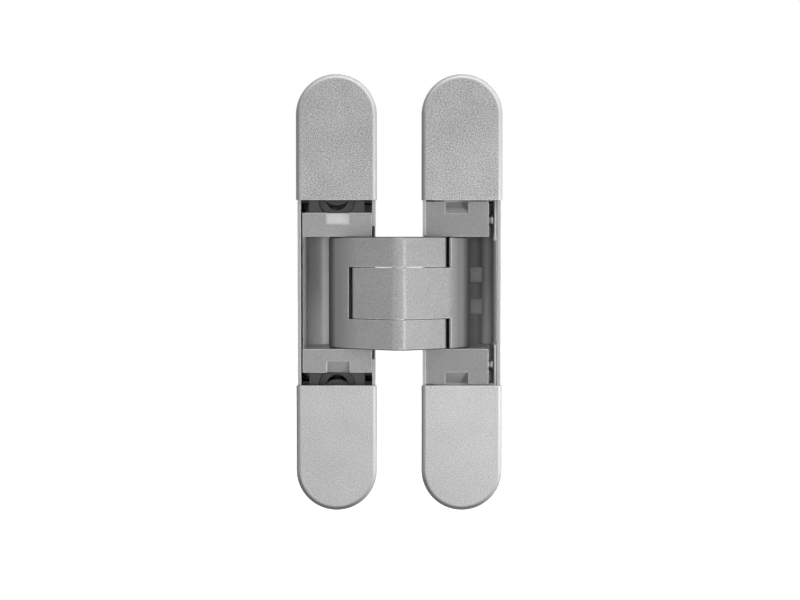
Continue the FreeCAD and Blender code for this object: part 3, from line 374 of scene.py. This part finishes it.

# What the finishes of a kind share. Edge is the grey of the highlight painted on their edges.
COVER = {"light": 0.77, "metallic": 0.15, "roughness": 0.45, "scale": 2900.0, "relief": 0.15,
         "edge": 0.9, "rim": True}
ARM = {"dark": 0.24, "light": 0.49, "metallic": 0.15, "roughness": 0.42, "scale": 2900.0,
       "relief": 0.2, "edge": 1.0, "flop": 0.08}
CASTING = {"metallic": 0.1, "scale": 1800.0, "relief": 0.05}
HOUSING = {"dark": 0.34, "light": 0.5, "metallic": 0.15, "roughness": 0.45, "scale": 2000.0,
           "relief": 0.08, "edge": 0.8}
MATERIALS = {
    # the upper covers' copy is painted shade, the lower covers' copy painted light
    "satin_paint": metal("CoverPaintShaded", **{**COVER, "dark": 0.06, "light": 0.8, "relief": 0.2}),
    "cover_paint_lit_copy": metal("CoverPaintLit", dark=0.32, **COVER),
    # painted shade: the arms go darker toward their roots, where they turn down into the pockets
    "fork_paint": metal("ForkPaint", zones=[("fade", FORK_FADE, 0.235)], **ARM),
    "tongue_paint": metal("TonguePaint", zones=[("fade", TONGUE_FADE, 0.185)], **ARM),
    "carriage_metal": metal("CarriageMetal", dark=0.285, light=0.375, roughness=0.38, edge=0.85,
                            # painted light: the carriage's trough paler inside, where little light
                            # reaches
                            zones=[("trough", (TROUGH_END, TROUGH_SKIN), 0.95),
                                   # painted highlight: the notch in the upper frame block paler where
                                   # its ramp faces the light above
                                   ("notch", (NOTCH_START, CARRIAGE_SKIN), 0.62),
                                   # painted shade: the carriage nearly black beyond the blocks' ends,
                                   # under the covers' edges
                                   ("beyond", BLOCK_END, 0.018)], **CASTING),
    "block_metal": metal("BlockMetal", dark=0.22, light=0.285, roughness=0.42, edge=0.85,
                         # painted light: the door blocks paler behind their fronts, lighting the gaps
                         # beside them
                         zones=[("deep", BLOCK_SKIN, 0.4)], **CASTING),
    "cradle_metal": metal("CradleMetal", dark=0.2, light=0.28, roughness=0.5,
                          # painted light: the cradle's right wall and its parts beyond the troughs
                          # paler, lighting the gap beside the door blocks
                          zones=[("fade", WALL_FADE, 0.95), ("beyond", TROUGH_END, 0.85)],
                          **CASTING),
    # painted shade: the frame pocket's walls nearly black from just behind the face to the middle depth,
    # an even grey past it
    "frame_housing_metal": metal("FrameHousingMetal", zones=[("pocket", BELOW_FACE, 0.03),
                                                             ("pocket", MID_DEPTH, 0.45)], **HOUSING),
    # painted light: the door pocket's walls pale from just behind the face to the middle depth, an even
    # grey past it
    "door_housing_metal": metal("DoorHousingMetal", zones=[("pocket", BELOW_FACE, 0.75),
                                                           ("pocket", MID_DEPTH, 0.42)], **HOUSING),
    "dark_steel": metal("DarkSteel", dark=0.012, light=0.035, metallic=0.3, roughness=0.42,
                        scale=1500.0, relief=0.04),
    "ground_steel": metal("GroundSteel", dark=0.36, light=0.5, metallic=0.95, roughness=0.3,
                          scale=1500.0, relief=0.04),
    "bush_polymer": metal("BushPolymer", dark=0.035, light=0.06, metallic=0.0, roughness=0.55,
                          scale=1200.0, relief=0.06),
}
for finish, names in FINISHES.items():
    for node_name in names:
        mesh = NODES[node_name].data
        mesh.materials.clear()
        mesh.materials.append(MATERIALS[finish])


# Screws with real threads, in place of the plain ones. The thread's depth and its run-in are shares
# of the pitch.
ROUND = 48
TURN = np.linspace(0, 2 * np.pi, ROUND, endpoint=False)
RINGS_PER_PITCH = 10
THREAD_DEPTH = 0.55
THREAD_RUN_IN = 0.5
SCREW_BEVEL = 0.3 * MM
SHARP_ANGLE = np.radians(35)


def hexagon(corner_radius):
    """Radius of a hexagon at each angle: its flat's distance over the cosine of the angle from the
    middle of that flat."""
    return (corner_radius * np.cos(np.pi / 6)
            / np.cos((TURN + np.pi / 6) % (np.pi / 3) - np.pi / 6))


def thread_rings(start, end, crest, pitch):
    """Rings of a single-start thread. The radius is the crest less the thread's depth times a
    triangle wave of axial place over pitch less angle over a full turn. It runs out at both ends."""
    along = np.arange(start, end, pitch / RINGS_PER_PITCH)
    wave = (along[:, None] / pitch - TURN[None, :] / (2 * np.pi)) % 1.0
    valley = 1 - np.abs(2 * wave - 1)
    run_in = np.clip((along - start) / (THREAD_RUN_IN * pitch), 0, 1)
    run_out = np.clip((end - along) / pitch, 0, 1)
    radius = crest - THREAD_DEPTH * pitch * valley * (run_out * run_in)[:, None]
    return along, radius


def closed_surface(name, rings, ends):
    """A smooth mesh over rings of points. Each point joins the next one of its ring and those two of
    the next ring in a four-sided face, and the first and last ring close to one end point each."""
    count = len(rings)
    points = np.vstack([rings.reshape(-1, 3), np.array(ends)])
    spokes = np.arange(ROUND)
    ring, spoke = np.meshgrid(np.arange(count - 1), spokes, indexing="ij")
    following = (spoke + 1) % ROUND
    quads = np.stack([ring * ROUND + spoke, ring * ROUND + following,
                      (ring + 1) * ROUND + following, (ring + 1) * ROUND + spoke], axis=-1)
    after = (spokes + 1) % ROUND
    base = (count - 1) * ROUND
    first = np.stack([np.full(ROUND, count * ROUND), after, spokes], axis=-1)
    last = np.stack([np.full(ROUND, count * ROUND + 1), base + spokes, base + after], axis=-1)
    mesh = bpy.data.meshes.new(name)
    mesh.from_pydata(points.tolist(), [], quads.reshape(-1, 4).tolist() + first.tolist() + last.tolist())
    shell = bmesh.new()
    shell.from_mesh(mesh)
    bmesh.ops.recalc_face_normals(shell, faces=shell.faces)
    shell.to_mesh(mesh)
    shell.free()
    mesh.shade_smooth()
    mesh.set_sharp_from_angle(angle=SHARP_ANGLE)
    return mesh


def threaded_screw(node, body, finish, head_radius, head, crest, pitch, socket, socket_depth):
    """One closed surface of rings carried along the axis: socket floor, hexagon wall, head, thread
    and tip. A ring's point is its radius turned by its angle, set at its place on the axis. The
    depth screws lie across the hinge, and the others point into the wood."""
    low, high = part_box(node)
    centre = (low + high) / 2
    along_x = node.startswith("depth")
    length = (high.x - low.x) if along_x else (high.y - low.y)
    full = np.ones(ROUND)
    rows = [(socket_depth, hexagon(socket)), (0.0, hexagon(socket)),
            (0.0, (head_radius - SCREW_BEVEL) * full), (SCREW_BEVEL, head_radius * full)]
    if head > 0:
        rows += [(head, head_radius * full), (head, crest * full)]
    places, radii = thread_rings(max(head, SCREW_BEVEL), length - SCREW_BEVEL, crest, pitch)
    axial = np.concatenate([[row[0] for row in rows], places, [length - SCREW_BEVEL, length]])
    radius = np.vstack([np.array([row[1] for row in rows]), radii,
                        (crest * full)[None, :], ((crest - SCREW_BEVEL) * full)[None, :]])
    across = radius * np.cos(TURN)
    upward = radius * np.sin(TURN)
    level = np.repeat(axial[:, None], ROUND, axis=1)
    if along_x:
        rings = np.stack([low.x + level, centre.y + across, centre.z + upward], axis=-1)
        ends = [(low.x + socket_depth, centre.y, centre.z), (low.x + length, centre.y, centre.z)]
    else:
        rings = np.stack([centre.x + across, low.y + level, centre.z + upward], axis=-1)
        ends = [(centre.x, low.y + socket_depth, centre.z), (centre.x, low.y + length, centre.z)]
    mesh = closed_surface(node + "_threaded", rings, ends)
    mesh.materials.append(MATERIALS["ground_steel" if finish == "steel" else finish])
    screw = bpy.data.objects.new(node + "_threaded", mesh)
    bpy.context.scene.collection.objects.link(screw)
    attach(screw, body)
    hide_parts(node)


for end in ("top", "bottom"):
    threaded_screw("frame_clamp_screw_" + end, "frame_leaf", "dark_steel",
                   head_radius=5.1 * MM, head=2.2 * MM, crest=2.9 * MM, pitch=1.0 * MM,
                   socket=2.3 * MM, socket_depth=1.6 * MM)
    threaded_screw("door_clamp_screw_" + end, "door_cradle", "dark_steel",
                   head_radius=3.9 * MM, head=1.4 * MM, crest=2.0 * MM, pitch=0.7 * MM,
                   socket=1.2 * MM, socket_depth=1.0 * MM)
    threaded_screw("lateral_screw_" + end, "lateral_screw_" + end, "dark_steel",
                   head_radius=3.1 * MM, head=1.7 * MM, crest=2.0 * MM, pitch=0.75 * MM,
                   socket=1.2 * MM, socket_depth=1.2 * MM)
    threaded_screw("depth_screw_" + end, "depth_screw_" + end, "steel",
                   head_radius=1.9 * MM, head=0.0, crest=1.9 * MM, pitch=0.7 * MM,
                   socket=1.2 * MM, socket_depth=1.5 * MM)


# The stage: its grey and its glow where it is seen, its half width, and how far it lies below the
# leaves. The door leaf can be set 3 mm lower than at rest. The world gives a weak grey light.
STAGE_GREY = 0.82
STAGE_ROUGHNESS = 0.9
STAGE_GLOW = 0.97
FLOOR_HALF = 2.0
FLOOR_GAP = 3.5 * MM
WORLD_GREY = 0.06


def seen_share(tree):
    """1 for rays that show the background: from the camera, off gloss, or through glass."""
    rays = tree.nodes.new("ShaderNodeLightPath")
    total = rays.outputs["Is Camera Ray"]
    for kind in ("Is Glossy Ray", "Is Transmission Ray"):
        add = tree.nodes.new("ShaderNodeMath")
        add.operation = "ADD"
        add.use_clamp = True
        tree.links.new(total, add.inputs[0])
        tree.links.new(rays.outputs[kind], add.inputs[1])
        total = add.outputs[0]
    return total


def seen_instead(tree, unseen, seen, surface):
    """Shows one shader to the rays that show the background, and another to all other rays."""
    mix = tree.nodes.new("ShaderNodeMixShader")
    tree.links.new(seen_share(tree), mix.inputs["Fac"])
    tree.links.new(unseen, mix.inputs[1])
    tree.links.new(seen, mix.inputs[2])
    tree.links.new(mix.outputs["Shader"], surface)


def stage_material():
    """A pale floor that keeps the shadow; where it is seen, a plain glow lifts its lit part to white."""
    material = bpy.data.materials.new("PaleStage")
    material.use_nodes = True
    nodes, links = material.node_tree.nodes, material.node_tree.links
    shader = nodes["Principled BSDF"]
    shader.inputs["Base Color"].default_value = (STAGE_GREY, STAGE_GREY, STAGE_GREY, 1)
    shader.inputs["Roughness"].default_value = STAGE_ROUGHNESS
    glow = nodes.new("ShaderNodeEmission")
    glow.inputs["Strength"].default_value = STAGE_GLOW
    lit = nodes.new("ShaderNodeAddShader")
    links.new(shader.outputs["BSDF"], lit.inputs[0])
    links.new(glow.outputs["Emission"], lit.inputs[1])
    seen_instead(material.node_tree, shader.outputs["BSDF"], lit.outputs["Shader"],
                 nodes["Material Output"].inputs["Surface"])
    return material


floor_mesh = bpy.data.meshes.new("floor")
floor_level = cad_box[0].z - FLOOR_GAP
floor_mesh.from_pydata(
    [(x * FLOOR_HALF, y * FLOOR_HALF, floor_level) for x, y in ((-1, -1), (1, -1), (1, 1), (-1, 1))],
    [], [(0, 1, 2, 3)])
floor_mesh.materials.append(stage_material())
floor = bpy.data.objects.new("floor", floor_mesh)
bpy.context.scene.collection.objects.link(floor)

world = bpy.data.worlds.new("Studio")
bpy.context.scene.world = world
world.use_nodes = True
sky = world.node_tree
background = sky.nodes["Background"]
background.inputs["Color"].default_value = (WORLD_GREY, WORLD_GREY, WORLD_GREY, 1)
white = sky.nodes.new("ShaderNodeBackground")
white.inputs["Color"].default_value = (1, 1, 1, 1)
seen_instead(sky, background.outputs["Background"], white.outputs["Background"],
             sky.nodes["World Output"].inputs["Surface"])

# Lamps and camera. Places and sides are in metres, lens and sensor in millimetres.
LAMP_AIM = Vector((0.02, 0, 0))
CAMERA_PLACE = (0.0194, -0.503, 0.014)
CAMERA_AIM = Vector((0.0195, -0.003, -0.0022))
CAMERA_LENS = 73.15
CAMERA_SENSOR = 36.0
CAMERA_NEAR = 10 * MM


def softbox(name, where, watts, side):
    """A square area light that faces the middle of the hinge."""
    data = bpy.data.lights.new(name, "AREA")
    data.energy = watts
    data.size = side
    lamp = bpy.data.objects.new(name, data)
    lamp.location = where
    lamp.rotation_euler = (LAMP_AIM - Vector(where)).to_track_quat("-Z", "Y").to_euler()
    bpy.context.scene.collection.objects.link(lamp)


softbox("right", where=(0.17, -0.14, -0.015), watts=0.18, side=0.08)
softbox("left", where=(-0.13, -0.14, -0.015), watts=0.05, side=0.08)
softbox("above", where=(0.02, -0.42, 0.42), watts=0.62, side=0.2)
softbox("low", where=(0.02, -0.62, 0.02), watts=0.335, side=0.14)
softbox("behind", where=(0.1, 0.42, 0.22), watts=0.5, side=0.2)

camera_data = bpy.data.cameras.new("camera")
camera_data.sensor_width = CAMERA_SENSOR
camera_data.lens = CAMERA_LENS
camera_data.clip_start = CAMERA_NEAR
camera = bpy.data.objects.new("camera", camera_data)
camera.location = CAMERA_PLACE
camera.rotation_euler = (CAMERA_AIM - camera.location).to_track_quat("-Z", "Y").to_euler()
bpy.context.scene.collection.objects.link(camera)
bpy.context.scene.camera = camera
bpy.context.scene.view_settings.view_transform = "Standard"
